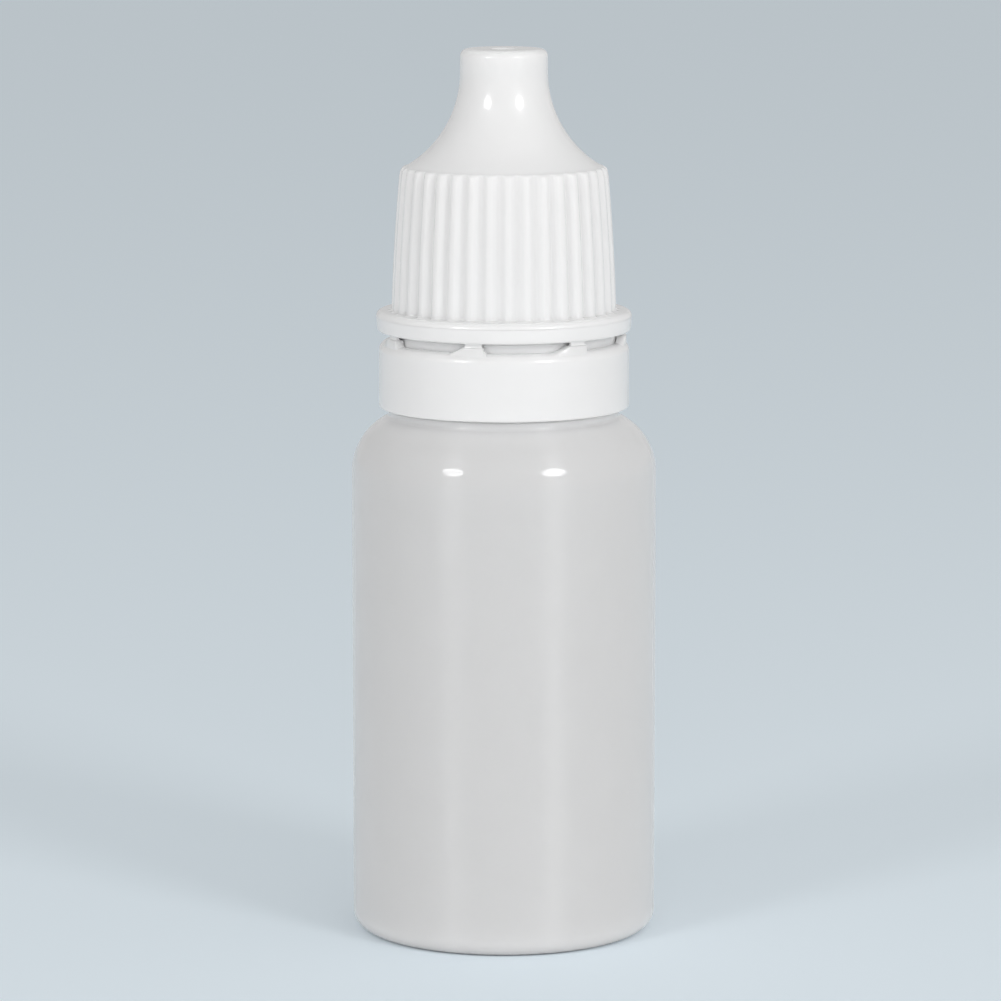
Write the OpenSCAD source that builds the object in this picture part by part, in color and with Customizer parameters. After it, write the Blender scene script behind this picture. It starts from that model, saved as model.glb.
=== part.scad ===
// Eye drop bottle: a blown bottle, a press-in dropper plug, a ribbed screw cap with a
// flared spire, and a tamper ring whose ratchet teeth stand in the gap below the cap.
// Units are millimetres. The origin is the centre of the base, +Z runs up the axis,
// and the front looks along -Y. Angles round the axis count from the front towards +X.

/* [Bottle body] */
// Outer diameter of the body
body_d = 22; // [20:0.5:28]
// Height of the flat top of the shoulder above the base
shoulder_z = 38; // [25:0.2:60]
// Outer radius of the rounded shoulder
shoulder_r = 4.4; // [3:0.1:5]
// Outer radius of the corner round the base
base_corner_r = 1.4; // [0.8:0.1:2.4]
// Thickness of the blown wall
wall_t = 0.8; // [0.5:0.05:1.2]
// How far the middle of the base is pushed up
dish_h = 0.8; // [0.3:0.1:1.5]
// Width of the flat ring that the bottle stands on
foot_w = 1.2; // [0.6:0.1:2.4]

/* [Bottle neck] */
// Bore of the neck, which holds the dropper plug
neck_bore_d = 8.6; // [7.5:0.1:9.4]
// Outer diameter of the neck over its thread
neck_d = 12.6; // [11.6:0.1:13.4]
// Height of the neck rim above the shoulder
neck_h = 13.2; // [12:0.2:17]
// Outer diameter of the collar that keeps the tamper ring on
collar_d = 16.2; // [15.4:0.1:17.4]
// Thickness of the collar
collar_t = 1.75; // [1:0.05:2.4]
// Height of the underside of the collar above the shoulder
collar_z = 4; // [3.6:0.1:6]
// How far the land on the shoulder reaches out past the bore of the tamper ring
land_w = 0.12; // [0.05:0.01:0.3]
// Clearance between the land and the bottom of the tamper ring
land_gap = 0.1; // [0.05:0.01:0.15]
// Chamfer at the foot of the land
land_foot = 0.3; // [0.1:0.05:0.4]

/* [Tamper ring] */
// Radial clearance between the collar and the bore of the ring
ring_clear = 0.08; // [0.04:0.01:0.1]
// Thickness of the wall of the ring
ring_wall = 0.85; // [0.6:0.05:1.2]
// Gap between the shoulder and the bottom of the ring
ring_gap = 0.3; // [0.2:0.05:0.6]
// Radius of the rounded top edge of the ring
ring_edge_r = 0.7; // [0.3:0.05:0.8]
// Height of the open gap between the ring and the cap
window_h = 0.75; // [0.5:0.05:1.2]
// How far the snap lip of the ring reaches in under the collar
lip_w = 0.8; // [0.4:0.1:1.2]
// Thickness of the snap lip at its inner edge
lip_t = 0.6; // [0.4:0.1:1]
// Clearance between the collar and the top of the snap lip
lip_gap = 0.2; // [0.1:0.05:0.4]
// Number of ratchet teeth round the ring
tooth_n = 7; // [5:1:9]
// Height of a tooth above the ring
tooth_h = 0.45; // [0.25:0.05:0.45]
// Length of the flat top of a tooth
tooth_top_w = 1.5; // [0.8:0.1:2]
// Length of the ramp of a tooth
tooth_ramp_w = 1.15; // [0.6:0.05:1.6]
// How far the outside of a tooth lies in from the outside of the ring
tooth_inset = 0.2; // [0.1:0.05:0.3]
// Angle of the upright face of the first tooth
tooth_angle = -9.6; // [-26:0.1:26]
// Thickness of the break-off bridge on a tooth
bridge_t = 0.3; // [0.2:0.05:0.3]
// How far a bridge lies in from the outside of its tooth
bridge_inset = 0.1; // [0.05:0.01:0.1]
// How far a bridge lies in from the ends of the flat top of its tooth
bridge_side = 0.1; // [0.05:0.05:0.3]

/* [Cap] */
// Gap between the collar and the underside of the closed cap
cap_gap = 0.1; // [0.05:0.05:0.5]
// Radial clearance between the neck and the bore of the cap
cap_clear = 0.08; // [0.04:0.01:0.1]
// Wall of the skirt between the bore and the bottom of a groove, at the top
cap_wall = 0.79; // [0.6:0.01:1]
// Height of the ribbed skirt, from the flange to the rim
skirt_h = 10.35; // [8:0.05:14]
// How much wider the skirt is in radius at the flange than at the rim
skirt_taper = 0.64; // [0.2:0.02:0.8]
// How far the side of the skirt bulges out of a straight taper
skirt_bulge = 0.085; // [0:0.005:0.15]
// Number of ribs round the skirt
rib_n = 36; // [24:1:48]
// Height of a rib above the grooves
rib_h = 0.28; // [0.15:0.01:0.4]
// Share of each pitch that a rib takes up
rib_share = 0.52; // [0.4:0.01:0.65]
// Angle of the middle of the first rib
rib_angle = 2.3; // [0:0.1:10]
// Radius of the rounded rim and of the top ends of the ribs
rim_r = 0.4; // [0.2:0.05:0.6]
// Thickness of the flange
flange_t = 1.45; // [1:0.05:2]
// How far the flange stands out past the tamper ring
flange_over = 0.19; // [0:0.01:0.4]
// Radius of the top edge of the flange
flange_edge_r = 0.4; // [0.2:0.05:0.6]
// Bevel of the low outer edge of the flange and of the tamper ring
low_edge = 0.12; // [0.05:0.01:0.2]
// Height of the flare, from the rim to the throat of the spire
flare_h = 6.75; // [6:0.05:9]
// Outer diameter of the spire
spire_d = 6.32; // [5.8:0.02:7]
// Height of the straight top of the spire
spire_h = 1.67; // [1.3:0.01:4]
// Radius of the top edge of the spire
spire_edge_r = 0.35; // [0.15:0.05:0.6]
// Diameter of the dimple in the top of the spire
dimple_d = 1.9; // [1:0.1:2.6]
// Depth of the dimple
dimple_h = 0.3; // [0.1:0.05:0.5]
// Wall of the flare and the spire
spire_wall = 1; // [0.8:0.05:1.2]
// Thickness of the top of the spire over its hollow
spire_top_t = 1.15; // [0.9:0.05:1.6]
// Gap between the dropper plug and the seat in the closed cap
seat_gap = 0.05; // [0.02:0.01:0.1]
// Width of the seat that holds the plug down
seat_w = 0.6; // [0.3:0.05:0.8]

/* [Dropper plug] */
// How far the flange of the plug lies in from the outside of the neck
plug_inset = 0.45; // [0.3:0.05:0.8]
// Thickness of the flange of the plug
plug_flange_t = 0.9; // [0.6:0.05:1.4]
// Length of the hollow skirt pressed into the neck
plug_skirt_h = 5; // [3:0.1:7]
// Wall of the skirt of the plug
plug_wall = 0.95; // [0.7:0.05:1.2]
// Gap between the skirt and the bore, between the sealing bands
plug_relief = 0.05; // [0.02:0.01:0.1]
// Width of a sealing band
band_w = 0.7; // [0.4:0.05:1]
// Outer diameter of the nozzle at its foot
nozzle_foot_d = 6.6; // [6:0.1:7.4]
// Outer diameter of the nozzle at its tip
nozzle_tip_d = 3.1; // [2.6:0.05:3.3]
// Height of the bead round the tip
tip_bead_h = 0.6; // [0.4:0.05:1]
// How far the bead stands out of the nozzle
tip_bead_w = 0.15; // [0.05:0.01:0.25]
// Gap between the tip of the nozzle and the top of the hollow in the spire
tip_gap = 0.7; // [0.4:0.05:1]
// Fillet between the nozzle and the flange of the plug
nozzle_fillet = 0.4; // [0.2:0.05:0.5]
// Diameter of the orifice
orifice_d = 1; // [0.6:0.05:1.2]
// Length of the orifice
orifice_h = 1.4; // [1:0.1:2]
// Width of the cone that leads into the orifice
orifice_lead = 0.3; // [0.1:0.05:0.5]
// Radial clearance between the sealing pin and the orifice
pin_clear = 0.08; // [0.04:0.01:0.12]
// How deep the sealing pin of the cap reaches into the orifice
pin_in = 0.5; // [0.3:0.05:0.9]

/* [Hidden] */
$fn = 96;
eps = 0.01;

body_r = body_d / 2;
neck_r = neck_d / 2;
bore_r = neck_bore_d / 2;
collar_r = collar_d / 2;
foot_r = body_r - base_corner_r;
in_corner_r = max(base_corner_r - wall_t / 2, wall_t / 2);
dish_r = foot_r - foot_w;
shoulder_x = body_r - shoulder_r;
neck_top_z = shoulder_z + neck_h;
collar_low_z = shoulder_z + collar_z;
collar_top_z = collar_low_z + collar_t;

cap_z = collar_top_z + cap_gap;
ring_top_z = cap_z - window_h;
ring_z = shoulder_z + ring_gap;
ring_in_r = collar_r + ring_clear;
ring_r = ring_in_r + ring_wall;
lip_r = ring_in_r - lip_w;
lip_top_z = collar_low_z - lip_gap;
tooth_r = ring_r - tooth_inset;
tooth_top_z = ring_top_z + tooth_h;
tooth_pitch = 360 / tooth_n;
bridge_r = tooth_r - bridge_inset;
bridge_w = tooth_top_w - 2 * bridge_side;

land_r = ring_in_r + land_w;
land_top_z = ring_z - land_gap;
land_foot_r = land_r + land_foot;
shoulder_end = shoulder_x < land_foot_r ? acos((land_foot_r - shoulder_x) / shoulder_r) : 90;
land_foot_z = shoulder_z - shoulder_r + shoulder_r * sin(shoulder_end);
land_foot_h = min(land_foot, (land_top_z - land_foot_z) / 2);

cap_bore_r = neck_r + cap_clear;
floor_top_r = cap_bore_r + cap_wall;
floor_low_r = floor_top_r + skirt_taper;
flange_r = ring_r + flange_over;
flange_top_z = cap_z + flange_t;
rim_z = flange_top_z + skirt_h;
rim_in_r = floor_top_r + rib_h - rim_r;
throat_z = rim_z + flare_h;
cap_top_z = throat_z + spire_h;
spire_r = spire_d / 2;
hollow_r = spire_r - spire_wall;
hollow_top_z = cap_top_z - spire_top_t;
flare_dr = rim_in_r - spire_r;
flare_r = (flare_dr * flare_dr + flare_h * flare_h) / (2 * flare_dr);
flare_x = spire_r + flare_r;
rib_pitch = 360 / rib_n;

plug_flange_r = neck_r - plug_inset;
plug_top_z = neck_top_z + plug_flange_t;
seat_z = plug_top_z + seat_gap;
seat_r = plug_flange_r - seat_w;
nozzle_foot_r = nozzle_foot_d / 2;
nozzle_tip_r = nozzle_tip_d / 2;
nozzle_top_z = hollow_top_z - tip_gap;
plug_low_z = neck_top_z - plug_skirt_h;
plug_skirt_r = bore_r - plug_relief;
plug_in_r = plug_skirt_r - plug_wall;
orifice_r = orifice_d / 2;

// Points of an arc in the plane of a profile, from angle a to angle b
function arc(x, z, r, a, b, n = 8) =
    [for (i = [0:n]) let (t = a + (b - a) * i / n) [x + r * cos(t), z + r * sin(t)]];

// Radius of the bottom of the grooves at a share t of the way up the skirt
function floor_r(t) =
    floor_low_r + (floor_top_r - floor_low_r) * t + 4 * skirt_bulge * t * (1 - t);

// Side of the skirt, a height out from the bottom of the grooves, up to share t_end
function skirt_side(out, t_end, n = 5) =
    [for (i = [0:n]) let (t = t_end * i / n) [floor_r(t) + out, flange_top_z + skirt_h * t]];

// A list of points in the opposite order
function inwards(points) = [for (i = [len(points) - 1:-1:0]) points[i]];

// The pushed-up middle of the base from its centre out, at a height
function dish(z, n = 6) =
    [for (i = [0:n]) let (t = i / n) [dish_r * t, z + dish_h * (1 - t * t)]];

// Turns a piece drawn on the +X side to an angle counted from the front
module at_angle(a) {
    rotate([0, 0, a - 90]) children();
}

// Outline of the outside of the bottle, from the foot to the neck rim
function bottle_outside() = concat(
    arc(foot_r, base_corner_r, base_corner_r, -90, 0),
    arc(shoulder_x, shoulder_z - shoulder_r, shoulder_r, 0, shoulder_end),
    [
        [land_r, land_foot_z + land_foot_h],
        [land_r, land_top_z],
        [neck_r, land_top_z],
        [neck_r, collar_low_z],
        [collar_r, collar_low_z],
        [collar_r, collar_top_z],
        [neck_r, collar_top_z],
        [neck_r, neck_top_z]
    ]
);

// Outline of the inside of the bottle, from the neck rim down to the middle of the base
function bottle_inside() = concat(
    [[bore_r, neck_top_z], [bore_r, shoulder_z - wall_t]],
    arc(shoulder_x, shoulder_z - shoulder_r, shoulder_r - wall_t, 90, 0),
    arc(body_r - wall_t - in_corner_r, wall_t + in_corner_r, in_corner_r, 0, -90),
    inwards(dish(wall_t))
);

module bottle() {
    color([0.86, 0.87, 0.88, 0.75])
    rotate_extrude()
    polygon(concat(dish(0), bottle_outside(), bottle_inside()));
}

// The bore of the neck holds the skirt of the plug by two sealing bands
module dropper_plug() {
    color([0.9, 0.91, 0.92])
    rotate_extrude()
    polygon([
        [orifice_r, nozzle_top_z],
        [nozzle_tip_r + tip_bead_w, nozzle_top_z],
        [nozzle_tip_r + tip_bead_w, nozzle_top_z - tip_bead_h],
        [nozzle_tip_r, nozzle_top_z - tip_bead_h - tip_bead_w],
        [nozzle_foot_r, plug_top_z + nozzle_fillet],
        [nozzle_foot_r + nozzle_fillet, plug_top_z],
        [plug_flange_r, plug_top_z],
        [plug_flange_r, neck_top_z],
        [plug_skirt_r, neck_top_z],
        [plug_skirt_r, neck_top_z - band_w],
        [bore_r, neck_top_z - 2 * band_w],
        [bore_r, neck_top_z - 3 * band_w],
        [plug_skirt_r, neck_top_z - 3.5 * band_w],
        [plug_skirt_r, plug_low_z + 2 * band_w],
        [bore_r, plug_low_z + 1.5 * band_w],
        [bore_r, plug_low_z + 0.5 * band_w],
        [plug_skirt_r - plug_wall / 3, plug_low_z],
        [plug_in_r, plug_low_z],
        [plug_in_r, neck_top_z - plug_wall / 2],
        [nozzle_foot_r - plug_wall, plug_top_z],
        [orifice_r + orifice_lead, nozzle_top_z - orifice_h - orifice_lead],
        [orifice_r, nozzle_top_z - orifice_h]
    ]);
}

// A tooth has an upright face on its anticlockwise side and a ramp on the other
module tooth() {
    rotate([90, 0, 90])
    linear_extrude(height = ring_r)
    polygon([
        [0, ring_top_z - ring_edge_r],
        [0, tooth_top_z],
        [-tooth_top_w, tooth_top_z],
        [-tooth_top_w - tooth_ramp_w, ring_top_z],
        [-tooth_top_w - tooth_ramp_w, ring_top_z - ring_edge_r]
    ]);
}

module tamper_ring() {
    color("white") {
        rotate_extrude()
        polygon(concat(
            [[ring_in_r, ring_z], [ring_r - low_edge, ring_z], [ring_r, ring_z + low_edge]],
            arc(ring_r - ring_edge_r, ring_top_z - ring_edge_r, ring_edge_r, 0, 90, 5),
            [
                [ring_in_r, ring_top_z],
                [ring_in_r, lip_top_z],
                [lip_r, lip_top_z - lip_w / 4],
                [lip_r, lip_top_z - lip_w / 4 - lip_t],
                [ring_in_r, lip_top_z - lip_w - lip_t]
            ]
        ));
        intersection() {
            rotate_extrude()
            translate([ring_in_r, ring_top_z - ring_edge_r])
            square([tooth_r - ring_in_r, ring_edge_r + tooth_h]);
            union() {
                for (i = [0:tooth_n - 1]) at_angle(tooth_angle + i * tooth_pitch) tooth();
            }
        }
    }
}

// One thin web on each tooth, which tears when the cap is first turned
module tamper_bridges() {
    color("white")
    intersection() {
        rotate_extrude()
        translate([bridge_r - bridge_t, tooth_top_z])
        square([bridge_t, cap_z - tooth_top_z]);
        union() {
            for (i = [0:tooth_n - 1]) {
                at_angle(tooth_angle + i * tooth_pitch)
                translate([0, bridge_side - tooth_top_w, tooth_top_z])
                cube([ring_r, bridge_w, cap_z - tooth_top_z]);
            }
        }
    }
}

// The solid outside of the cap without its ribs
module cap_outside() {
    rotate_extrude()
    polygon(concat(
        [[0, cap_z], [flange_r - low_edge, cap_z], [flange_r, cap_z + low_edge]],
        arc(flange_r - flange_edge_r, flange_top_z - flange_edge_r, flange_edge_r, 0, 90, 4),
        skirt_side(0, 1 - rim_r / skirt_h),
        arc(flare_x, throat_z, flare_r, 180 + asin(flare_h / flare_r), 180, 10),
        arc(spire_r - spire_edge_r, cap_top_z - spire_edge_r, spire_edge_r, 0, 90, 4),
        [[dimple_d / 2, cap_top_z], [dimple_d / 4, cap_top_z - dimple_h], [0, cap_top_z - dimple_h]]
    ));
}

// The bore over the neck, the seat over the plug and the hollow round the nozzle
module cap_hollow() {
    hollow_arc_r = flare_r + spire_wall;
    rotate_extrude()
    polygon(concat(
        [[0, cap_z - eps], [cap_bore_r, cap_z - eps], [cap_bore_r, seat_z], [seat_r, seat_z]],
        arc(flare_x, throat_z, hollow_arc_r, 180 + acos((flare_x - seat_r) / hollow_arc_r), 180, 8),
        [[hollow_r, hollow_top_z], [0, hollow_top_z]]
    ));
}

module rib() {
    rotate([0, 0, -rib_pitch * rib_share / 2])
    rotate_extrude(angle = rib_pitch * rib_share)
    polygon(concat(
        [[floor_top_r - rib_h, flange_top_z - eps]],
        [[floor_low_r + rib_h, flange_top_z - eps]],
        skirt_side(rib_h, 1 - rim_r / skirt_h),
        arc(rim_in_r, rim_z - rim_r, rim_r, 0, 90, 4),
        [[floor_top_r - rib_h, rim_z - rim_r]]
    ));
}

module cap() {
    color("white") {
        difference() {
            union() {
                cap_outside();
                for (i = [0:rib_n - 1]) at_angle(rib_angle + i * rib_pitch) rib();
            }
            cap_hollow();
        }
        translate([0, 0, nozzle_top_z - pin_in])
        cylinder(h = hollow_top_z - nozzle_top_z + pin_in, r = orifice_r - pin_clear);
    }
}

bottle();
dropper_plug();
tamper_ring();
tamper_bridges();
cap();
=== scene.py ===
"""Eye drop bottle: bottle, dropper plug, tamper ring and screw cap, dressed round the frame.

Outlines are in millimetres and run up the outside of a piece and down its inside.
Angles are in degrees from the front (-Y) towards +X, anticlockwise as seen from above.
"""
import math

import bpy
from mathutils import Matrix, Vector


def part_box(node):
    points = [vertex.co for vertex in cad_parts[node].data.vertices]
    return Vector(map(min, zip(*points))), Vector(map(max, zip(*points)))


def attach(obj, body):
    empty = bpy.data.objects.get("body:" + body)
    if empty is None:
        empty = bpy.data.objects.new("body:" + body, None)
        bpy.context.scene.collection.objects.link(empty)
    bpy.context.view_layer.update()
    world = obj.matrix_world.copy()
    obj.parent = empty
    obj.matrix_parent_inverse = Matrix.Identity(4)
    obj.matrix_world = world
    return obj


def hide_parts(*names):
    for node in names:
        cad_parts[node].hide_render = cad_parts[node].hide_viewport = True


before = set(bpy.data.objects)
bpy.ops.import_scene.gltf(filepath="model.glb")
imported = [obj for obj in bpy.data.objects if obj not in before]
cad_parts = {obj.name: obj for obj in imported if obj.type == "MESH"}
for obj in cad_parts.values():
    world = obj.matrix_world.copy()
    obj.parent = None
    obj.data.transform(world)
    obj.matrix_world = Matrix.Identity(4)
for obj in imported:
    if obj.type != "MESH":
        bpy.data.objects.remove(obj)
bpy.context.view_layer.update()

MM = 0.001


def reach(node):
    """Outer radius, lowest and highest level of a round CAD node"""
    low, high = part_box(node)
    return high[0] / MM, low[2] / MM, high[2] / MM


# Sizes read from the frame
BODY_R, BASE_Z, NECK_TOP = reach("bottle")
PLUG_FLANGE_R, PLUG_LOW, NOZZLE_TOP = reach("dropper_plug")
RING_R, RING_LOW, TOOTH_TOP = reach("tamper_ring")
FLANGE_R, CAP_LOW, CAP_TOP = reach("cap")

# Bottle
RING_GAP = 0.3
SHOULDER_Z = RING_LOW - RING_GAP
SHOULDER_EDGE_R = 4.4
BASE_EDGE_R = 1.4
FOOT_W = 1.2
DISH_R = BODY_R - BASE_EDGE_R - FOOT_W
DISH_H = 0.8
WALL = 0.8
NECK_R = 6.3
NECK_CORE_R = 5.55
BORE_R = 4.3
COLLAR_R = 8.1
CAP_GAP = 0.1
COLLAR_TOP = CAP_LOW - CAP_GAP
COLLAR_T = 1.75
LAND_R = 8.3
LAND_GAP = 0.1
LAND_TOP = RING_LOW - LAND_GAP
LAND_FILLET = 0.3
SEAM_ANGLE = 78
SEAM_W = 0.14
SEAM_H = 0.02
WELD_W = 0.5
WELD_H = 0.16
WELD_END_R = 7.6
WELD_FADE = 0.8

# Screw thread, right-handed
LEAD = 3.0
NECK_THREAD_UP = 1.3
NECK_THREAD_Z = COLLAR_TOP + NECK_THREAD_UP
NECK_THREAD_TURNS = 1.75
CAP_THREAD_TURNS = 1.2
THREAD_FADE = 0.08
RIDGE_H = NECK_R - NECK_CORE_R
RIDGE_FOOT = 0.68
RIDGE_TOP = 0.3
ROW_STEP = 0.09

# Dropper plug
PLUG_FLANGE_T = 0.9
PLUG_WALL = 0.95
PLUG_RELIEF = 0.05
BAND_W = 0.7
NOZZLE_FOOT_R = 3.3
NOZZLE_TIP_R = 1.55
WAIST_OUT = 0.75
WAIST_UP = 4.2
WAIST_BEND = 12
BEAD_H = 0.6
BEAD_W = 0.15
ORIFICE_R = 0.5
ORIFICE_H = 1.4
ORIFICE_LEAD = 0.3

# Tamper ring
RING_CLEAR = 0.08
RING_BORE_R = COLLAR_R + RING_CLEAR
TOOTH_H = 0.45
RING_TOP = TOOTH_TOP - TOOTH_H
RING_EDGE_R = 0.7
LIP_W = 0.8
LIP_T = 0.6
LIP_GAP = 0.2
LIP_TOP = COLLAR_TOP - COLLAR_T - LIP_GAP
TOOTH_N = 7
TOOTH_INSET = 0.2
TOOTH_R = RING_R - TOOTH_INSET
TOOTH_TOP_W = 1.5
TOOTH_RAMP_W = 1.15
TOOTH_FACE_W = 0.05
TOOTH_FACE_END = 0.03
TOOTH_ANGLE = -9.6
TOOTH_PITCH = 360 / TOOTH_N
WEB_SIDE = 0.1
WEB_W = TOOTH_TOP_W - 2 * WEB_SIDE
WEB_T = 0.3
WEB_INSET = 0.1
WEB_R = TOOTH_R - WEB_INSET
WEB_PINCH = 0.05
SKIN = 0.002

# Cap
FLANGE_T = 1.45
FLANGE_TOP = CAP_LOW + FLANGE_T
FLANGE_EDGE_R = 0.42
FLANGE_DRAFT = 0.1
SKIRT_H = 10.35
RIM_Z = FLANGE_TOP + SKIRT_H
BORE_CLEAR = 0.08
CAP_BORE_R = NECK_R + BORE_CLEAR
PLUG_CLEAR = 0.06
CAP_RIDGE_H = CAP_BORE_R - PLUG_FLANGE_R - PLUG_CLEAR
CAP_WALL = 0.79
GROOVE_TOP_R = CAP_BORE_R + CAP_WALL
SKIRT_TAPER = 0.64
SKIRT_BULGE = 0.085
RIB_N = 36
RIB_H = 0.28
RIB_ANGLE = 2.3
RIB_CREST = 0.8
RIB_FOOT = 4.4
RIM_R = 0.4
RIM_IN_R = GROOVE_TOP_R + RIB_H - RIM_R
GROOVE_END_R = GROOVE_TOP_R - RIM_IN_R
FOOT_FILLET = 0.18
SPIRE_R = 3.16
SPIRE_H = 1.67
SPIRE_EDGE_R = 0.55
THROAT_Z = CAP_TOP - SPIRE_H
FLARE_H = THROAT_Z - RIM_Z
FLARE_W = RIM_IN_R - SPIRE_R
FLARE_R = (FLARE_W**2 + FLARE_H**2) / (2 * FLARE_W)
FLARE_X = SPIRE_R + FLARE_R
DIMPLE_R = 0.95
DIMPLE_H = 0.3
SPIRE_WALL = 1.0
SPIRE_TOP_T = 1.15
HOLLOW_TOP = CAP_TOP - SPIRE_TOP_T
SEAT_GAP = 0.05
SEAT_Z = NECK_TOP + PLUG_FLANGE_T + SEAT_GAP
SEAT_W = 0.6
SEAT_R = PLUG_FLANGE_R - SEAT_W
PIN_CLEAR = 0.08
PIN_R = ORIFICE_R - PIN_CLEAR
PIN_IN = 0.5

# How deep light reaches into the plastic of the bottle: further in the thin wall than in the neck
WALL_DEPTH = 3.0
NECK_DEPTH = 0.45

# Light of the studio: its level, and how it grows towards +X, +Y and +Z
WORLD_LEVEL = 0.535
WORLD_SLOPE = (0.07, 0.03, 0.05)

# Floor: half its width in metres, and the colour it shows to the camera, gloss and clear rays
FLOOR_HALF = 4.0
FLOOR_SEEN = (0.85, 0.94, 1, 1)

# Camera: its lens, its place in mm and how many degrees it looks down
LENS = 189.3
CAMERA_PLACE = (-0.25, -376.72, 89.3)
CAMERA_DOWN = 8.74

# Skin of a plastic: size of its mottling, and size, height and strength of its waves
MOTTLE_SIZE = 6.0
WAVE_SIZE = 5.0
WAVE_H = 0.02
WAVE_STRENGTH = 0.15


# Outlines

def level(low, high, step):
    """Evenly spaced levels from low to high, both included"""
    count = max(1, round(abs(high - low) / step))
    return [low + (high - low) * i / count for i in range(count + 1)]


def arc(x, z, radius, start, end, count=12):
    """Corners along an arc in the plane of an outline"""
    turns = [math.radians(a) for a in level(start, end, abs(end - start) / count)]
    return [(x + radius * math.cos(t), z + radius * math.sin(t), 0) for t in turns]


def rounded(corners, turn=9):
    """An outline through corners (r, z, radius), with an arc at each corner that has a radius"""
    points = []
    for i, (r, z, radius) in enumerate(corners):
        corner = Vector((r, z))
        if radius == 0:
            points.append((r, z))
            continue
        before = (Vector(corners[i - 1][:2]) - corner).normalized()
        after = (Vector(corners[(i + 1) % len(corners)][:2]) - corner).normalized()
        half = before.angle(after) / 2
        centre = corner + (before + after).normalized() * radius / math.sin(half)
        spoke = corner + before * radius / math.tan(half) - centre
        sweep = math.copysign(math.pi - 2 * half, -before.cross(after))
        count = max(2, round(abs(math.degrees(sweep)) / turn))
        for k in range(count + 1):
            points.append(tuple(centre + Matrix.Rotation(sweep * k / count, 2) @ spoke))
    return points


# Meshes

def ring(r, z, angles):
    """Points round the axis, or the one point on the axis"""
    if r < 1e-6:
        return [(0, 0, z)]
    return [(r * math.sin(a), -r * math.cos(a), z) for a in map(math.radians, angles)]


def turned(outline, angles):
    """The rings of a plain solid of revolution"""
    return [ring(r, z, angles) for r, z in outline]


def shaped(outline, angles, place):
    """Rings whose radius and level at each angle come from place(r, z, angle)"""
    rings = []
    for r, z in outline:
        points = []
        for angle in angles:
            new_r, new_z = place(r, z, angle)
            points.append(ring(new_r, new_z, [angle])[0])
        rings.append(points)
    return rings


def blended(plain, raised, angles, share):
    """Rings between two outlines of as many points, by a share at each angle"""
    rings = []
    for (r0, z0), (r1, z1) in zip(plain, raised):
        points = []
        for angle in angles:
            k = share(angle)
            points.append(ring(r0 + (r1 - r0) * k, z0 + (z1 - z0) * k, [angle])[0])
        rings.append(points)
    return rings


def between(start, count, next_start, next_count):
    """Faces between two rings, whose numbers of points may differ by a whole factor"""
    if 1 in (count, next_count):
        edges = max(count, next_count)
        for j in range(edges):
            first = [start + j, start + (j + 1) % edges] if count > 1 else [start]
            last = [next_start + (j + 1) % edges, next_start + j] if next_count > 1 else [next_start]
            yield first + last
        return
    cells = min(count, next_count)
    for j in range(cells):
        low = [start + (j * count // cells + i) % count for i in range(count // cells + 1)]
        steps = range(next_count // cells, -1, -1)
        high = [next_start + (j * next_count // cells + i) % next_count for i in steps]
        yield low + high


def skin(name, rings, body, material, sharp=40, closed=False):
    """A smooth piece through rings, riding on a body; closed joins the last ring to the first"""
    points = []
    starts = []
    for one in rings:
        starts.append(len(points))
        points += [(x * MM, y * MM, z * MM) for x, y, z in one]
    faces = []
    for i in range(len(rings) - (0 if closed else 1)):
        j = (i + 1) % len(rings)
        faces += between(starts[i], len(rings[i]), starts[j], len(rings[j]))
    return piece(name, points, faces, body, material, sharp)


def piece(name, points, faces, body, material, sharp=40):
    """A mesh object made of points in metres, smooth but for its sharp edges"""
    mesh = bpy.data.meshes.new(name)
    mesh.from_pydata(points, [], faces)
    mesh.polygons.foreach_set("use_smooth", [True] * len(mesh.polygons))
    mesh.set_sharp_from_angle(angle=math.radians(sharp))
    mesh.materials.append(material)
    made = bpy.data.objects.new(name, mesh)
    bpy.context.scene.collection.objects.link(made)
    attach(made, body)
    return made


def smooth_step(x):
    """0 below 0, 1 above 1 and a smooth rise between them"""
    x = min(max(x, 0), 1)
    return x * x * (3 - 2 * x)


def ridge(distance, top, foot):
    """A rounded ridge: 1 within top of its middle line, 0 beyond foot"""
    return 1 - smooth_step((abs(distance) - top) / (foot - top))


def helix(z, angle, start_z, turns):
    """Height share of a thread at a level and an angle, faded out at both ends"""
    turn = angle / 360
    turn += round((z - start_z) / LEAD - turn)
    ends = smooth_step(turn / THREAD_FADE + 0.5) * smooth_step((turns - turn) / THREAD_FADE + 0.5)
    return ends * ridge(z - start_z - LEAD * turn, RIDGE_TOP, RIDGE_FOOT)


def even(count):
    """Evenly spaced angles"""
    return [360 * i / count for i in range(count)]


# Materials

def new_material(name, colour, roughness, haze=0.0, depth=1.0):
    """A plastic with a scattering share haze and depth in mm; gives its nodes too"""
    material = bpy.data.materials.new(name)
    material.use_nodes = True
    nodes = material.node_tree.nodes
    shader = nodes["Principled BSDF"]
    shader.inputs["Base Color"].default_value = (*colour, 1)
    shader.inputs["Roughness"].default_value = roughness
    shader.inputs["Subsurface Weight"].default_value = haze
    shader.inputs["Subsurface Radius"].default_value = (1, 1, 1)
    shader.inputs["Subsurface Scale"].default_value = depth * MM
    return material, nodes, material.node_tree.links, shader


def noise(nodes, links, size, detail=2.0):
    """A noise texture in object space with features of a size in mm"""
    place = nodes.new("ShaderNodeTexCoord")
    texture = nodes.new("ShaderNodeTexNoise")
    texture.inputs["Scale"].default_value = 1 / (size * MM)
    texture.inputs["Detail"].default_value = detail
    links.new(place.outputs["Object"], texture.inputs["Vector"])
    return texture.outputs["Fac"]


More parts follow.
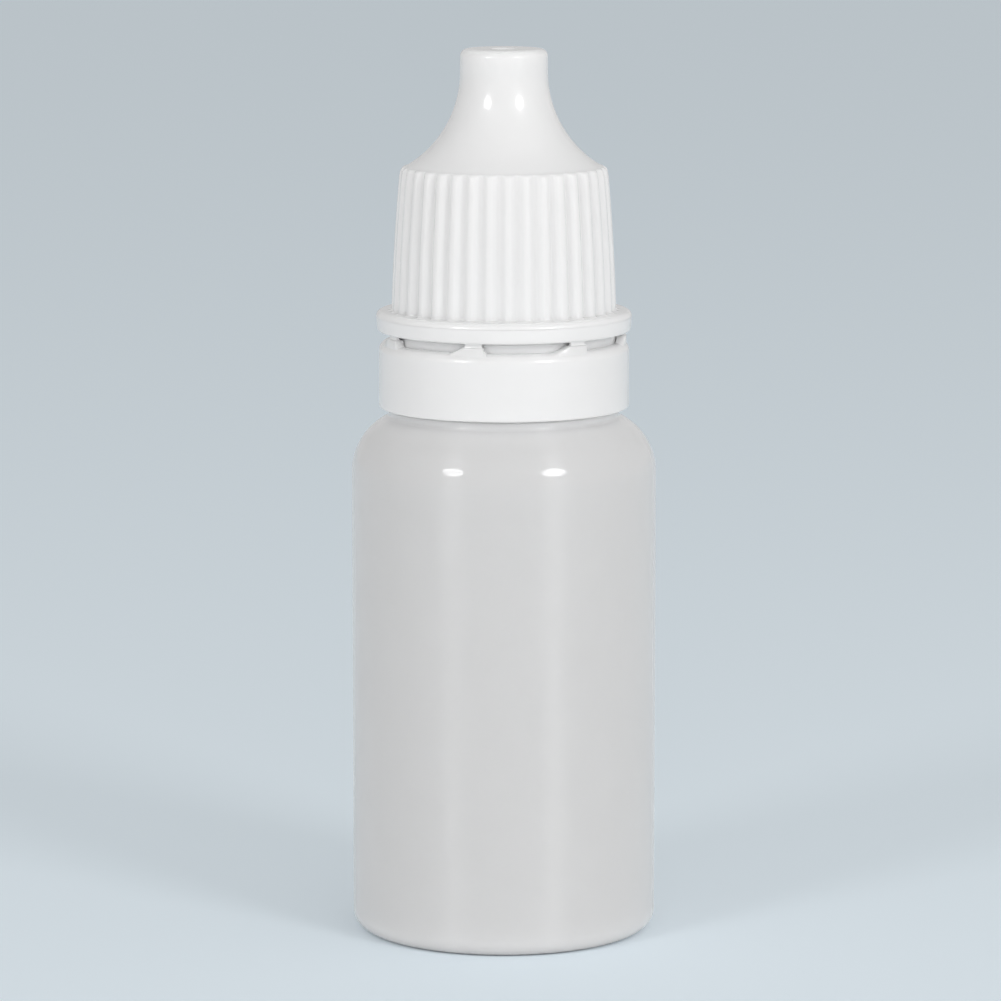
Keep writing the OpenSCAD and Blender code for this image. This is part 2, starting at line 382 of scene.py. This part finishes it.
def ramp(nodes, links, source, stops):
    """A colour ramp over a value, from stops of (position, grey or colour)"""
    node = nodes.new("ShaderNodeValToRGB")
    elements = node.color_ramp.elements
    while len(elements) < len(stops):
        elements.new(0.5)
    for element, (position, colour) in zip(elements, stops):
        element.position = position
        element.color = (*colour, 1) if isinstance(colour, tuple) else (colour, colour, colour, 1)
    links.new(source, node.inputs["Fac"])
    return node.outputs["Color"]


def bump(nodes, links, height, distance, strength, normal=None):
    """A bump node over a height map, with its distance in mm"""
    node = nodes.new("ShaderNodeBump")
    node.inputs["Distance"].default_value = distance * MM
    node.inputs["Strength"].default_value = strength
    links.new(height, node.inputs["Height"])
    if normal is not None:
        links.new(normal, node.inputs["Normal"])
    return node.outputs["Normal"]


def shade(name, colour, change, roughness, haze, depth):
    """Moulded plastic: faint mottling and a slightly wavy skin"""
    material, nodes, links, shader = new_material(name, colour, roughness, haze, depth)
    low = tuple(c * (1 - change) for c in colour)
    mottle = ramp(nodes, links, noise(nodes, links, MOTTLE_SIZE, 3.0), [(0.35, low), (0.65, colour)])
    links.new(mottle, shader.inputs["Base Color"])
    wave = bump(nodes, links, noise(nodes, links, WAVE_SIZE, 1.0), WAVE_H, WAVE_STRENGTH)
    links.new(wave, shader.inputs["Normal"])
    return material, shader


def white_plastic(name, haze, depth):
    """Opaque glossy white of the cap and the tamper ring"""
    material, shader = shade(name, (0.94, 0.94, 0.94), 0.02, 0.3, haze, depth)
    gloss(shader, 0.8, 0.04)
    return material


def gloss(shader, weight, roughness):
    """A smooth skin over a plastic, which mirrors the lamps sharply"""
    shader.inputs["Coat Weight"].default_value = weight
    shader.inputs["Coat Roughness"].default_value = roughness


def natural_polyethylene(name, colour, roughness):
    """Milky polyethylene, whose gloss is drawn out up and down by fine marks round the mould"""
    material, shader = shade(name, colour, 0.02, roughness, 0.95, WALL_DEPTH)
    gloss(shader, 0.85, 0.035)
    nodes = material.node_tree.nodes
    links = material.node_tree.links
    around = nodes.new("ShaderNodeTangent")
    around.direction_type = "RADIAL"
    around.axis = "Z"
    links.new(around.outputs["Tangent"], shader.inputs["Tangent"])
    shader.inputs["Specular IOR Level"].default_value = 0.8
    shader.inputs["Anisotropic"].default_value = 1.0
    shader.inputs["Anisotropic Rotation"].default_value = 0.25
    links.new(scattering_depth(nodes, links), shader.inputs["Subsurface Scale"])
    return material


def scattering_depth(nodes, links):
    """The depth light reaches, which falls across the top of the shoulder"""
    place = nodes.new("ShaderNodeTexCoord")
    part = nodes.new("ShaderNodeSeparateXYZ")
    depth = nodes.new("ShaderNodeMapRange")
    depth.inputs["From Min"].default_value = (SHOULDER_Z - 1.5) * MM
    depth.inputs["From Max"].default_value = (SHOULDER_Z + 0.5) * MM
    depth.inputs["To Min"].default_value = WALL_DEPTH * MM
    depth.inputs["To Max"].default_value = NECK_DEPTH * MM
    links.new(place.outputs["Object"], part.inputs["Vector"])
    links.new(part.outputs["Z"], depth.inputs["Value"])
    return depth.outputs["Result"]


CAP_PLASTIC = white_plastic("white_plastic", 0.8, 0.7)
WEB_PLASTIC = white_plastic("web_plastic", 0.2, 0.1)
BOTTLE_PLASTIC = natural_polyethylene("bottle_polyethylene", (0.975, 0.974, 0.984), 0.4)
PLUG_PLASTIC = natural_polyethylene("plug_polyethylene", (0.93, 0.93, 0.94), 0.4)


# Bottle

def dish(z, count=10):
    """The pushed-up middle of the base, from its centre out"""
    shares = level(0, 1, 1 / count)
    return [(DISH_R * t, z + DISH_H * (1 - t * t), 0) for t in shares]


def shoulder():
    """The quarter round of the shoulder, as far in as the fillet at the foot of the land"""
    centre_r = BODY_R - SHOULDER_EDGE_R
    steep = math.degrees(math.acos((LAND_R + LAND_FILLET - centre_r) / SHOULDER_EDGE_R))
    bend = arc(centre_r, SHOULDER_Z - SHOULDER_EDGE_R, SHOULDER_EDGE_R, 0, steep, 16)
    return bend + [(LAND_R, bend[-1][1] + 0.12, LAND_FILLET)]


def bottle_outline():
    """The bottle from the middle of its base up the outside, and down the inside"""
    neck_rows = level(COLLAR_TOP + 0.4, NECK_TOP - 0.35, ROW_STEP)
    outside = [
        *dish(BASE_Z),
        (BODY_R, BASE_Z, BASE_EDGE_R),
        *[(BODY_R, z, 0) for z in level(3, 33, 3)],
        *shoulder(),
        (LAND_R, LAND_TOP, 0.15),
        (NECK_R, LAND_TOP, 0.2),
        (NECK_R, COLLAR_TOP - COLLAR_T, 0.2),
        (COLLAR_R, COLLAR_TOP - COLLAR_T, 0.15),
        (COLLAR_R, COLLAR_TOP, 0.12),
        (NECK_CORE_R, COLLAR_TOP, 0.25),
        *[(NECK_CORE_R, z, 0) for z in neck_rows],
        (NECK_CORE_R, NECK_TOP, 0.25),
    ]
    inside = [
        (BORE_R, NECK_TOP, 0.1),
        (BORE_R, SHOULDER_Z - WALL, 0.6),
        (BODY_R - WALL, SHOULDER_Z - WALL, SHOULDER_EDGE_R - WALL),
        (BODY_R - WALL, BASE_Z + WALL, BASE_EDGE_R - WALL / 2),
        *dish(BASE_Z + WALL)[::-1],
    ]
    return rounded(outside + inside)


def seam_share(angle):
    """Height share of the parting line, which runs up two opposite sides of the bottle"""
    away = (angle - SEAM_ANGLE + 90) % 180 - 90
    return ridge(math.radians(away) * BODY_R, 0, SEAM_W)


def bottle_surface(r, z, angle):
    """Adds the thread, the parting line and the weld across the base to the bottle"""
    outside = r > BODY_R - WALL / 2 or (z > SHOULDER_Z - 0.1 and r > BORE_R + 0.5)
    if outside and z > COLLAR_TOP + 0.3:
        return r + RIDGE_H * helix(z, angle, NECK_THREAD_Z, NECK_THREAD_TURNS), z
    if outside:
        return r + SEAM_H * seam_share(angle), z
    if z < BASE_Z + DISH_H + 0.01 and r < DISH_R + 0.01:
        away = r * math.sin(math.radians(angle - SEAM_ANGLE))
        return r, z - WELD_H * ridge(away, 0, WELD_W) * smooth_step((WELD_END_R - r) / WELD_FADE)
    return r, z


def seam_angles(count):
    """Even angles with more of them about the two parting lines"""
    step = math.degrees(SEAM_W / BODY_R) / 3
    close = [SEAM_ANGLE + side + step * k for side in (0, 180) for k in range(-4, 5)]
    gap = 180 / count
    far = [a for a in even(count) if min(abs(a - c) for c in close) > gap / 2]
    return sorted(far + close)


def make_bottle():
    """The hollow bottle with its neck, collar and land"""
    angles = seam_angles(240)
    outline = bottle_outline()
    rings = shaped(outline[1:-1], angles, bottle_surface)
    foot = ring(0, outline[0][1] - WELD_H, [0])
    floor = ring(0, outline[-1][1], [0])
    made = skin("bottle_shell", [foot] + rings + [floor], "bottle", BOTTLE_PLASTIC)
    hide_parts("bottle")


# Dropper plug

def plug_outline():
    """The plug from the foot of its skirt up to the nozzle, and down the inside"""
    skirt_r = BORE_R - PLUG_RELIEF
    band_r = BORE_R - 0.01
    bore_r = skirt_r - PLUG_WALL
    plug_top = NECK_TOP + PLUG_FLANGE_T
    lower_band = PLUG_LOW + BAND_W
    upper_band = NECK_TOP - 2.5 * BAND_W
    return rounded([
        (bore_r, PLUG_LOW, 0.1),
        (skirt_r - 0.3, PLUG_LOW, 0.1),
        (skirt_r, PLUG_LOW + 0.35, 0.1),
        (band_r, lower_band, 0),
        (skirt_r, lower_band + BAND_W, 0),
        (skirt_r, upper_band - BAND_W, 0),
        (band_r, upper_band, 0),
        (skirt_r, upper_band + BAND_W, 0),
        (skirt_r, NECK_TOP, 0),
        (PLUG_FLANGE_R, NECK_TOP, 0.08),
        (PLUG_FLANGE_R, plug_top, 0.25),
        (NOZZLE_FOOT_R + 0.2, plug_top, 0.5),
        (NOZZLE_TIP_R + WAIST_OUT, plug_top + WAIST_UP, WAIST_BEND),
        (NOZZLE_TIP_R, NOZZLE_TOP - BEAD_H - BEAD_W, 0.1),
        (NOZZLE_TIP_R + BEAD_W, NOZZLE_TOP - BEAD_H, 0.08),
        (NOZZLE_TIP_R + BEAD_W, NOZZLE_TOP, 0.22),
        (ORIFICE_R, NOZZLE_TOP, 0.12),
        (ORIFICE_R, NOZZLE_TOP - ORIFICE_H, 0.1),
        (ORIFICE_R + ORIFICE_LEAD, NOZZLE_TOP - ORIFICE_H - ORIFICE_LEAD, 0.1),
        (NOZZLE_FOOT_R - PLUG_WALL, plug_top, 0.3),
        (bore_r, NECK_TOP - PLUG_WALL / 2, 0.3),
    ])


def make_plug():
    """The dropper plug in the neck"""
    made = skin("nozzle_plug", turned(plug_outline(), even(128)), "bottle", PLUG_PLASTIC, closed=True)
    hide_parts("dropper_plug")


# Tamper ring

def tooth_share(angle):
    """Height share of the ratchet teeth: an upright face, a flat top and a ramp"""
    behind = (TOOTH_ANGLE - angle) % TOOTH_PITCH * math.radians(TOOTH_R)
    if behind > TOOTH_TOP_W + TOOTH_RAMP_W:
        return 0
    rise = smooth_step(behind / TOOTH_FACE_W + 0.5) if behind < TOOTH_FACE_END else 1
    return min(rise, (TOOTH_TOP_W + TOOTH_RAMP_W - behind) / TOOTH_RAMP_W, 1)


def tooth_angles(count=48):
    """Angles that follow the faces of the teeth, with count of them for each tooth"""
    turn = math.degrees(1 / TOOTH_R)
    edges = [0, 0.015, 0.03, 0.06, 0.12]
    top = level(0.25, TOOTH_TOP_W - 0.1, 0.2)
    ramp_down = level(TOOTH_TOP_W, TOOTH_TOP_W + TOOTH_RAMP_W, 0.1)
    behind = [turn * b for b in edges + top + ramp_down]
    rest = count - len(behind)
    last = behind[-1]
    behind += [last + (TOOTH_PITCH - last) * (k + 1) / (rest + 1) for k in range(rest)]
    angles = [TOOTH_ANGLE + i * TOOTH_PITCH - b for i in range(TOOTH_N) for b in behind]
    return sorted(a % 360 for a in angles)


def make_tamper_ring():
    """The ring with its ratchet teeth on top and its snap lip inside"""
    angles = tooth_angles()
    edge_x = RING_R - RING_EDGE_R
    edge_z = RING_TOP - RING_EDGE_R
    lean = math.degrees(math.acos((TOOTH_R - edge_x) / RING_EDGE_R))
    lower = rounded([
        (RING_BORE_R, RING_LOW + 0.3, 0),
        (RING_BORE_R, RING_LOW, 0.1),
        (RING_R, RING_LOW, 0.18),
        *[(RING_R, z, 0) for z in level(RING_LOW + 1, edge_z - 0.5, 0.6)],
    ])
    shoulder = [p[:2] for p in arc(edge_x, edge_z, RING_EDGE_R, 0, lean, 8)]
    plain = [p[:2] for p in arc(edge_x, edge_z, RING_EDGE_R, lean, 90, 8)]
    plain += [(edge_x - 0.05, RING_TOP), (RING_BORE_R + 0.06, RING_TOP), (RING_BORE_R, RING_TOP - 0.06)]
    crown = rounded([
        (TOOTH_R, edge_z + 0.5, 0),
        (TOOTH_R, TOOTH_TOP, 0.12),
        (RING_BORE_R, TOOTH_TOP, 0.06),
        (RING_BORE_R, TOOTH_TOP - 0.3, 0),
    ], turn=18)
    foot_r, foot_z = shoulder[-1]
    raised = [(foot_r, foot_z)] + crown[1:-1]
    raised = raised[:1] + spread(raised[1:], len(plain) - 1)
    inner = rounded([
        (RING_BORE_R, RING_TOP - 0.3, 0),
        (RING_BORE_R, LIP_TOP, 0.1),
        (RING_BORE_R - LIP_W, LIP_TOP - LIP_W / 4, 0.12),
        (RING_BORE_R - LIP_W, LIP_TOP - LIP_W / 4 - LIP_T, 0.12),
        (RING_BORE_R, LIP_TOP - LIP_W - LIP_T, 0.2),
        (RING_BORE_R, RING_LOW + 0.3, 0),
    ])[:-1]
    rings = turned(lower + shoulder[:-1], angles)
    rings += blended(plain, raised, angles, tooth_share)
    rings += turned(inner, angles)
    made = skin("tamper_band", rings, "tamper_ring", CAP_PLASTIC, sharp=32, closed=True)
    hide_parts("tamper_ring")


def spread(points, count):
    """As many points as asked for, evenly spaced along a line of points"""
    lengths = [0]
    for (x0, z0), (x1, z1) in zip(points, points[1:]):
        lengths.append(lengths[-1] + math.hypot(x1 - x0, z1 - z0))
    spaced = []
    for i in range(count):
        want = lengths[-1] * i / (count - 1)
        k = max(j for j in range(len(points) - 1) if lengths[j] <= want + 1e-9)
        part = (want - lengths[k]) / (lengths[k + 1] - lengths[k])
        spaced.append(tuple(a + (b - a) * part for a, b in zip(points[k], points[k + 1])))
    return spaced


def make_bridges():
    """One thin web on each tooth, pinched where it breaks and a skin clear of both ends"""
    middle = (TOOTH_TOP + CAP_LOW) / 2
    points = []
    faces = []
    for i in range(TOOTH_N):
        turn = TOOTH_ANGLE + i * TOOTH_PITCH - math.degrees(TOOTH_TOP_W / 2 / TOOTH_R)
        half = math.degrees(WEB_W / 2 / WEB_R)
        for z, pinch in ((TOOTH_TOP + SKIN, 0), (middle, WEB_PINCH), (CAP_LOW - SKIN, 0)):
            side = half - math.degrees(pinch / WEB_R)
            start = len(points)
            for r, angles in ((WEB_R - pinch, level(-side, side, side / 3)),
                              (WEB_R - WEB_T + pinch, level(side, -side, side / 3))):
                points += [tuple(c * MM for c in ring(r, z, [turn + a])[0]) for a in angles]
            count = len(points) - start
            if z < middle:
                faces.append([start + k for k in range(count)][::-1])
            else:
                faces += between(start - count, count, start, count)
        faces.append([start + k for k in range(count)])
    made = piece("break_bridges", points, faces, "tamper_ring", WEB_PLASTIC)
    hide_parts("tamper_bridges")


# Cap

def groove_r(t):
    """Radius of the bottom of the grooves at a share t of the way up the skirt"""
    return GROOVE_TOP_R + SKIRT_TAPER * (1 - t) + 4 * SKIRT_BULGE * t * (1 - t)


def skirt_outline(out, end_r):
    """A side of the skirt, out from the grooves, with its foot fillet and its rounded end"""
    foot = []
    for h in level(0, FOOT_FILLET, FOOT_FILLET / 4):
        fillet = FOOT_FILLET - math.sqrt(FOOT_FILLET**2 - (FOOT_FILLET - h) ** 2)
        foot.append((groove_r(h / SKIRT_H) + out + fillet, FLANGE_TOP + h))
    shares = level(0.05, 1 - 1.5 * RIM_R / SKIRT_H, 0.08)
    side = [(groove_r(t) + out, FLANGE_TOP + SKIRT_H * t) for t in shares]
    end = [p[:2] for p in arc(RIM_IN_R, RIM_Z - end_r, end_r, 0, 90, 8)]
    return foot + side + end


def rib_share(angle):
    """Height share of the ribs, with rounded flanks"""
    pitch = 360 / RIB_N
    away = (angle - RIB_ANGLE + pitch / 2) % pitch - pitch / 2
    return ridge(away, RIB_CREST, RIB_FOOT)


def rib_angles():
    """Twenty angles for each rib, close together on its flanks"""
    flank = level(RIB_CREST, RIB_FOOT, (RIB_FOOT - RIB_CREST) / 6)
    half = [RIB_CREST / 2] + flank + [(RIB_FOOT + 180 / RIB_N) / 2]
    offsets = [-a for a in half] + [0] + half + [180 / RIB_N]
    pitch = 360 / RIB_N
    return sorted((RIB_ANGLE + i * pitch + a) % 360 for i in range(RIB_N) for a in offsets)


def flange_outline():
    """The flange at the foot of the cap, with a slight draft"""
    return rounded([
        (CAP_BORE_R + 1, CAP_LOW, 0),
        (FLANGE_R - FLANGE_DRAFT, CAP_LOW, 0.2),
        (FLANGE_R, FLANGE_TOP - FLANGE_EDGE_R, 0.3),
        (FLANGE_R, FLANGE_TOP, FLANGE_EDGE_R),
        (groove_r(0) + RIB_H + 0.3, FLANGE_TOP, 0),
    ], turn=12)


def spire_outline():
    """The flare, the spire and the dimple in its top, up from the rim"""
    rim_angle = 180 + math.degrees(math.asin(FLARE_H / FLARE_R))
    return rounded([
        *arc(FLARE_X, THROAT_Z, FLARE_R, rim_angle, 180, 24)[1:],
        (SPIRE_R, THROAT_Z + 0.6, 0),
        (SPIRE_R - 0.03, CAP_TOP, SPIRE_EDGE_R),
        (DIMPLE_R, CAP_TOP, 0.15),
        (DIMPLE_R * 0.55, CAP_TOP - DIMPLE_H, 0.25),
        (0, CAP_TOP - DIMPLE_H, 0),
    ])


def cap_inside():
    """The sealing pin, the hollow in the spire, the seat and the bore, down from the pin"""
    wall_r = FLARE_R + SPIRE_WALL
    hollow_r = SPIRE_R - SPIRE_WALL
    seat_angle = 180 + math.degrees(math.acos((FLARE_X - SEAT_R) / wall_r))
    return rounded([
        (0, NOZZLE_TOP - PIN_IN, 0),
        (PIN_R, NOZZLE_TOP - PIN_IN, 0.15),
        (PIN_R, HOLLOW_TOP, 0.1),
        (hollow_r, HOLLOW_TOP, 0.3),
        *arc(FLARE_X, THROAT_Z, wall_r, 180, seat_angle, 14),
        (SEAT_R, SEAT_Z, 0.1),
        (CAP_BORE_R, SEAT_Z, 0.3),
        *[(CAP_BORE_R, z, 0) for z in level(SEAT_Z - 0.4, CAP_LOW + 0.45, ROW_STEP)],
        (CAP_BORE_R, CAP_LOW + 0.3, 0),
        (CAP_BORE_R + 0.3, CAP_LOW, 0.05),
    ])


def cap_thread(r, z, angle):
    """Moves the bore in to a thread midway between the neck's turns, clear of the plug's flange"""
    start = NECK_THREAD_Z + LEAD / 2
    return r - CAP_RIDGE_H * helix(z, angle, start, CAP_THREAD_TURNS), z


def make_cap():
    """The cap from its sealing pin down the inside and up the outside"""
    angles = rib_angles()
    inner_angles = angles[::4]
    inside = cap_inside()
    threaded = [abs(r - CAP_BORE_R) < 1e-6 and z < SEAT_Z - 0.35 for r, z in inside]
    rings = []
    for (r, z), thread in zip(inside, threaded):
        if thread:
            rings += shaped([(r, z)], inner_angles, cap_thread)
        else:
            rings.append(ring(r, z, inner_angles))
    rings += turned(flange_outline(), angles)
    rings += blended(skirt_outline(0, GROOVE_END_R), skirt_outline(RIB_H, RIM_R), angles, rib_share)
    rings += turned(spire_outline(), angles)
    made = skin("ribbed_cap", rings, "cap", CAP_PLASTIC)
    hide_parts("cap")


# Surroundings

def make_floor():
    """A wide white floor that fills the camera's view, where it looks pale blue"""
    material, nodes, links, shader = new_material("floor_paint", (0.9, 0.9, 0.9), 0.6)
    seen = nodes.new("ShaderNodeBsdfDiffuse")
    seen.inputs["Color"].default_value = FLOOR_SEEN
    path = nodes.new("ShaderNodeLightPath")
    straight = nodes.new("ShaderNodeMath")
    links.new(path.outputs["Is Camera Ray"], straight.inputs[0])
    links.new(path.outputs["Is Glossy Ray"], straight.inputs[1])
    through = nodes.new("ShaderNodeMath")
    through.use_clamp = True
    links.new(straight.outputs["Value"], through.inputs[0])
    links.new(path.outputs["Is Transmission Ray"], through.inputs[1])
    mix = nodes.new("ShaderNodeMixShader")
    links.new(through.outputs["Value"], mix.inputs["Fac"])
    links.new(shader.outputs["BSDF"], mix.inputs[1])
    links.new(seen.outputs["BSDF"], mix.inputs[2])
    links.new(mix.outputs["Shader"], nodes["Material Output"].inputs["Surface"])
    corners = [(x * FLOOR_HALF, y * FLOOR_HALF, 0) for x, y in ((-1, -1), (1, -1), (1, 1), (-1, 1))]
    mesh = bpy.data.meshes.new("floor")
    mesh.from_pydata(corners, [], [(0, 1, 2, 3)])
    mesh.materials.append(material)
    floor = bpy.data.objects.new("floor", mesh)
    bpy.context.scene.collection.objects.link(floor)


def lamp(name, azimuth, elevation, distance, width, height, power):
    """A soft oval lamp aimed at the middle of the bottle"""
    light = bpy.data.lights.new(name, "AREA")
    light.shape = "ELLIPSE"
    light.size = width
    light.size_y = height
    light.energy = power
    away = math.radians(azimuth)
    up = math.radians(elevation)
    aim = Vector((0, 0, (CAP_TOP + BASE_Z) / 2 * MM))
    out = Vector((math.sin(away) * math.cos(up), -math.cos(away) * math.cos(up), math.sin(up)))
    made = bpy.data.objects.new(name, light)
    made.location = aim + out * distance
    made.rotation_euler = out.to_track_quat("Z", "Y").to_euler()
    bpy.context.scene.collection.objects.link(made)
    return made


def make_lamps():
    """Two lamps that show as highlights, and a large fill that shows in no gloss"""
    lamp("left_lamp", azimuth=-41, elevation=25, distance=0.6, width=0.17, height=0.145, power=0.5)
    lamp("right_lamp", azimuth=40, elevation=25, distance=0.6, width=0.185, height=0.15, power=0.68)
    fill = lamp("front_fill", azimuth=4, elevation=5, distance=1.0, width=0.9, height=0.6, power=1.75)
    fill.visible_glossy = False


def make_world():
    """Even white light, which is a little stronger from the right, behind and above"""
    world = bpy.data.worlds.new("studio")
    bpy.context.scene.world = world
    world.use_nodes = True
    nodes = world.node_tree.nodes
    links = world.node_tree.links
    background = nodes["Background"]
    background.inputs["Color"].default_value = (1, 1, 1, 1)
    direction = nodes.new("ShaderNodeTexCoord")
    slope = nodes.new("ShaderNodeVectorMath")
    slope.operation = "DOT_PRODUCT"
    slope.inputs[1].default_value = WORLD_SLOPE
    links.new(direction.outputs["Generated"], slope.inputs[0])
    level_up = nodes.new("ShaderNodeMath")
    level_up.inputs[1].default_value = WORLD_LEVEL
    links.new(slope.outputs["Value"], level_up.inputs[0])
    links.new(level_up.outputs["Value"], background.inputs["Strength"])


def make_camera():
    """The photograph's view: a long lens that looks down by under nine degrees"""
    camera = bpy.data.cameras.new("camera")
    camera.sensor_width = 36
    camera.lens = LENS
    camera.clip_start = 0.01
    made = bpy.data.objects.new("camera", camera)
    made.location = [c * MM for c in CAMERA_PLACE]
    made.rotation_euler = (math.radians(90 - CAMERA_DOWN), 0, 0)
    bpy.context.scene.collection.objects.link(made)
    bpy.context.scene.camera = made


make_bottle()
make_plug()
make_tamper_ring()
make_bridges()
make_cap()
make_floor()
make_lamps()
make_world()
make_camera()
bpy.context.scene.view_settings.view_transform = "Standard"
